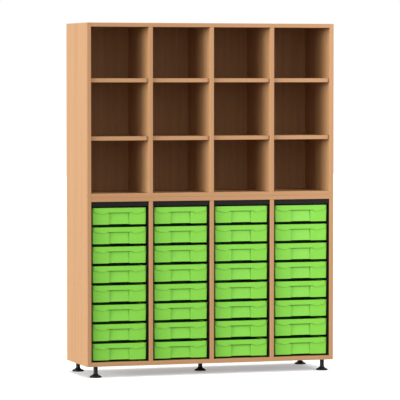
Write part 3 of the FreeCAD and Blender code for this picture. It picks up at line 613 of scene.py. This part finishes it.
class CABINET_OT_trays(bpy.types.Operator):
    """Mould the trays with soft edges in green polypropylene"""

    bl_idname = "cabinet.trays"
    bl_label = "Trays"

    def execute(self, context):
        colours = context.scene.cabinet_colours
        green = polypropylene("green_polypropylene", colours.tray, colours.tray_deep,
                              rough=0.36, shine=0.4)
        first = softened_mesh(TRAYS[0], context.scene.cabinet_sizes.tray_edge, steps=3)
        first.materials.append(green)
        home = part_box(TRAYS[0])[0]
        for node in TRAYS:
            mesh = first.copy()
            mesh.name = "moulded_" + node
            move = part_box(node)[0] - home
            for vertex in mesh.vertices:
                vertex.co += move
            piece = new_piece("moulded_" + node, mesh)
            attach(piece, node)
            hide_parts(node)
        bpy.data.meshes.remove(first)
        return {"FINISHED"}


class CABINET_OT_runners(bpy.types.Operator):
    """Mould the tray runners and the bars above the trays in black plastic"""

    bl_idname = "cabinet.runners"
    bl_label = "Runners And Bars"

    def execute(self, context):
        colour = context.scene.cabinet_colours.runner
        black = polypropylene("black_polypropylene_runner", colour, darker(colour, 0.7),
                              rough=0.5, shine=0.12)
        for node in RUNNERS:
            mesh = softened_mesh(node, context.scene.cabinet_sizes.runner_edge, steps=2)
            mesh.materials.append(black)
            piece = new_piece("moulded_" + node, mesh)
            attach(piece, CABINET)
            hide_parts(node)
        return {"FINISHED"}


class CABINET_OT_screws(bpy.types.Operator):
    """Drive cross-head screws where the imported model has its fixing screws"""

    bl_idname = "cabinet.screws"
    bl_label = "Screws"

    def execute(self, context):
        points = []
        directions = []
        for low, high, corners in islands("fixing_screws"):
            spread = high - low
            axis = max(range(3), key=lambda index: spread[index])
            middle = (low + high) / 2
            across = [index for index in range(3) if index != axis]
            widest = max(corners, key=lambda point: sum((point[index] - middle[index]) ** 2
                                                        for index in across))
            direction = Vector((0, 0, 0))
            direction[axis] = 1 if widest[axis] > middle[axis] else -1
            points.append(middle + direction * (spread[axis] / 2))
            directions.append(direction)
            diameter = max(spread[index] for index in across)
        head = context.scene.cabinet_sizes.screw_head_height / diameter
        zinc = zinc_plate("zinc_plated_screw", context.scene.cabinet_colours.zinc)
        fitting = cross_head_screw(head, shank=0.5)
        piece = set_fittings("cross_head_screws", points, directions, fitting, diameter, zinc)
        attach(piece, CABINET)
        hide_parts("fixing_screws")
        return {"FINISHED"}


class CABINET_OT_shelf_pins(bpy.types.Operator):
    """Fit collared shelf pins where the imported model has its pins"""

    bl_idname = "cabinet.shelf_pins"
    bl_label = "Shelf Pins"

    def execute(self, context):
        bays = sorted({round(sum(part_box(node)[end].x for end in (0, 1)) / 2, 4) for node in TRAYS})
        points = []
        directions = []
        for low, high, _ in islands("shelf_pins"):
            middle = (low + high) / 2
            bay = min(bays, key=lambda place: abs(place - middle.x))
            direction = Vector((math.copysign(1, bay - middle.x), 0, 0))
            length = high.x - low.x
            diameter = high.z - low.z
            points.append(middle + direction * (length / 2))
            directions.append(direction)
        zinc = zinc_plate("zinc_plated_pin", context.scene.cabinet_colours.zinc)
        fitting = collared_pin(context.scene.cabinet_sizes.pin_reach / diameter, length / diameter)
        piece = set_fittings("collared_shelf_pins", points, directions, fitting, diameter, zinc)
        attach(piece, CABINET)
        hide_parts("shelf_pins")
        return {"FINISHED"}


class CABINET_OT_feet(bpy.types.Operator):
    """Stand the cabinet on bell-shaped feet with threaded spindles"""

    bl_idname = "cabinet.feet"
    bl_label = "Levelling Feet"

    def execute(self, context):
        sizes = context.scene.cabinet_sizes
        colour = context.scene.cabinet_colours.foot
        black = polypropylene("black_polypropylene_foot", colour, darker(colour, 0.7),
                              rough=0.42, shine=0.2)
        zinc = zinc_plate("zinc_plated_spindle", context.scene.cabinet_colours.zinc)
        thread = thread_tree()
        for node in FEET:
            low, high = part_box(node)
            middle = (low + high) / 2
            seat = UNDERSIDE - sizes.spindle_seat
            bell = foot_bell((high.x - low.x) / 2)
            bell.materials.append(black)
            spindle_name = node.replace("foot_", "foot_spindle_")
            spindle = new_piece(spindle_name, bpy.data.meshes.new(spindle_name))
            rod = run_tree(spindle, thread, Diameter=sizes.spindle_diameter, Pitch=sizes.thread_pitch,
                           Length=high.z - seat, Finish=zinc)
            for mesh, height in ((bell, 0), (rod, seat)):
                for vertex in mesh.vertices:
                    vertex.co += Vector((middle.x, middle.y, height))
            pad = new_piece(node.replace("foot_", "foot_bell_"), bell)
            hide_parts(node)
            for piece, slot in ((pad, "foot_black"), (spindle, "zinc_steel")):
                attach(piece, node)
        return {"FINISHED"}


class CABINET_OT_hidden_fittings(bpy.types.Operator):
    """Finish the dowels and the threaded sockets inside the boards"""

    bl_idname = "cabinet.hidden_fittings"
    bl_label = "Dowels And Sockets"

    def execute(self, context):
        colours = context.scene.cabinet_colours
        dress("carcass_dowels", bare_beech("turned_beech_dowel", colours.dowel))
        dress("foot_sockets", zinc_plate("zinc_plated_socket", colours.zinc))
        return {"FINISHED"}


def hang_light(name, kind, place, **settings):
    """A light that points from a place to the middle of the cabinet and isn't scattered any further."""
    lamp = bpy.data.lights.new(name, kind)
    lamp.cycles.max_bounces = 0
    for setting, value in settings.items():
        setattr(lamp, setting, value)
    light = bpy.data.objects.new(name, lamp)
    light.location = place
    light.rotation_euler = (LIT_POINT - Vector(place)).to_track_quat("-Z", "Y").to_euler()
    bpy.context.scene.collection.objects.link(light)


def seen_directly(tree):
    """One where the camera, a reflection or a see-through surface looks, else nought."""
    path = add_node(tree, "ShaderNodeLightPath").outputs
    either = add_node(tree, "ShaderNodeMath", {0: path["Is Camera Ray"], 1: path["Is Glossy Ray"]},
                      operation="MAXIMUM")
    return add_node(tree, "ShaderNodeMath", {0: either.outputs[0], 1: path["Is Transmission Ray"]},
                    operation="MAXIMUM").outputs[0]


def pale_floor(glow):
    """White floor: matt, and lifted towards white where it is looked at, so only the shadow stays.

    The light that it throws back on the cabinet is that of a duller floor.
    """
    material = bpy.data.materials.new("white_floor")
    material.use_nodes = True
    tree = material.node_tree
    tree.nodes.clear()
    seen = seen_directly(tree)
    matt = add_node(tree, "ShaderNodeBsdfDiffuse", {"Color": (*linear("#E7E7E7"), 1)})
    dull = add_node(tree, "ShaderNodeBsdfDiffuse", {"Color": (*linear("#A0A0A0"), 1)})
    lift = add_node(tree, "ShaderNodeEmission", {"Strength": glow})
    lifted = add_node(tree, "ShaderNodeAddShader", {0: matt.outputs[0], 1: lift.outputs[0]})
    mixed = add_node(tree, "ShaderNodeMixShader", {0: seen, 1: dull.outputs[0], 2: lifted.outputs[0]})
    add_node(tree, "ShaderNodeOutputMaterial", {"Surface": mixed.outputs[0]})
    return material


class CABINET_OT_stage(bpy.types.Operator):
    """Lay the floor, hang the lights and set up the camera"""

    bl_idname = "cabinet.stage"
    bl_label = "Stage"

    def execute(self, context):
        scene = context.scene
        stage = scene.cabinet_stage
        scene.view_settings.view_transform = "Standard"

        mesh = bpy.data.meshes.new("floor")
        ways = ((-1, -1), (1, -1), (1, 1), (-1, 1))
        mesh.from_pydata([(x * FLOOR_REACH, y * FLOOR_REACH, 0) for x, y in ways], [], [(0, 1, 2, 3)])
        mesh.materials.append(pale_floor(stage.floor_glow))
        new_piece("floor", mesh)

        world = bpy.data.worlds.new("white_surroundings")
        world.use_nodes = True
        scene.world = world
        tree = world.node_tree
        tree.nodes.clear()
        even = add_node(tree, "ShaderNodeBackground", {"Strength": stage.surroundings})
        white = add_node(tree, "ShaderNodeBackground", {"Strength": 1.0, "Color": (1, 1, 1, 1)})
        mixed = add_node(tree, "ShaderNodeMixShader", {0: seen_directly(tree), 1: even.outputs[0],
                                                       2: white.outputs[0]})
        add_node(tree, "ShaderNodeOutputWorld", {"Surface": mixed.outputs[0]})

        for number, (place, share) in enumerate(LEFT_FAN, 1):
            hang_light(f"left_light_{number}", "SUN", place, energy=share * stage.left_light,
                       angle=math.radians(14))
        hang_light("right_light", "AREA", RIGHT_PLACE, energy=stage.right_light, size=1.6)
        hang_light("rear_light", "SUN", REAR_PLACE, energy=stage.rear_light, angle=math.radians(20))
        hang_light("sky_light", "SUN", SKY_PLACE, energy=stage.sky_light, angle=math.radians(4))

        camera = bpy.data.cameras.new("camera")
        camera.lens = stage.camera_lens
        camera.clip_end = 200
        view = bpy.data.objects.new("camera", camera)
        view.location = stage.camera_place
        view.rotation_euler = (math.pi / 2 - stage.camera_dip, 0, -stage.camera_turn)
        scene.collection.objects.link(view)
        scene.camera = view
        return {"FINISHED"}


OPERATORS = (CABINET_OT_boards, CABINET_OT_trays, CABINET_OT_runners, CABINET_OT_screws,
             CABINET_OT_shelf_pins, CABINET_OT_feet, CABINET_OT_hidden_fittings, CABINET_OT_stage)
SETTINGS = {"cabinet_sizes": CabinetSizes, "cabinet_colours": CabinetColours, "cabinet_stage": CabinetStage}


class CABINET_PT_sidebar(bpy.types.Panel):
    """Lists the cabinet's settings and the steps that build its looks"""

    bl_idname = "CABINET_PT_sidebar"
    bl_label = "Tray Cabinet"
    bl_space_type = "VIEW_3D"
    bl_region_type = "UI"
    bl_category = "Tray Cabinet"

    def draw(self, context):
        for name, settings in SETTINGS.items():
            box = self.layout.box()
            for setting in settings.__annotations__:
                box.prop(getattr(context.scene, name), setting)
        for operator in OPERATORS:
            self.layout.operator(operator.bl_idname)


def register():
    """Add the settings, the operators and the sidebar panel to Blender."""
    for kind in (*SETTINGS.values(), *OPERATORS, CABINET_PT_sidebar):
        bpy.utils.register_class(kind)
    for name, settings in SETTINGS.items():
        setattr(bpy.types.Scene, name, bpy.props.PointerProperty(type=settings))


def unregister():
    """Take them away again."""
    for name in SETTINGS:
        delattr(bpy.types.Scene, name)
    for kind in (CABINET_PT_sidebar, *OPERATORS, *SETTINGS.values()):
        bpy.utils.unregister_class(kind)


def main():
    """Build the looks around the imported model."""
    register()
    bpy.ops.cabinet.boards()
    bpy.ops.cabinet.trays()
    bpy.ops.cabinet.runners()
    bpy.ops.cabinet.screws()
    bpy.ops.cabinet.shelf_pins()
    bpy.ops.cabinet.feet()
    bpy.ops.cabinet.hidden_fittings()
    bpy.ops.cabinet.stage()


if __name__ == "__main__":
    main()
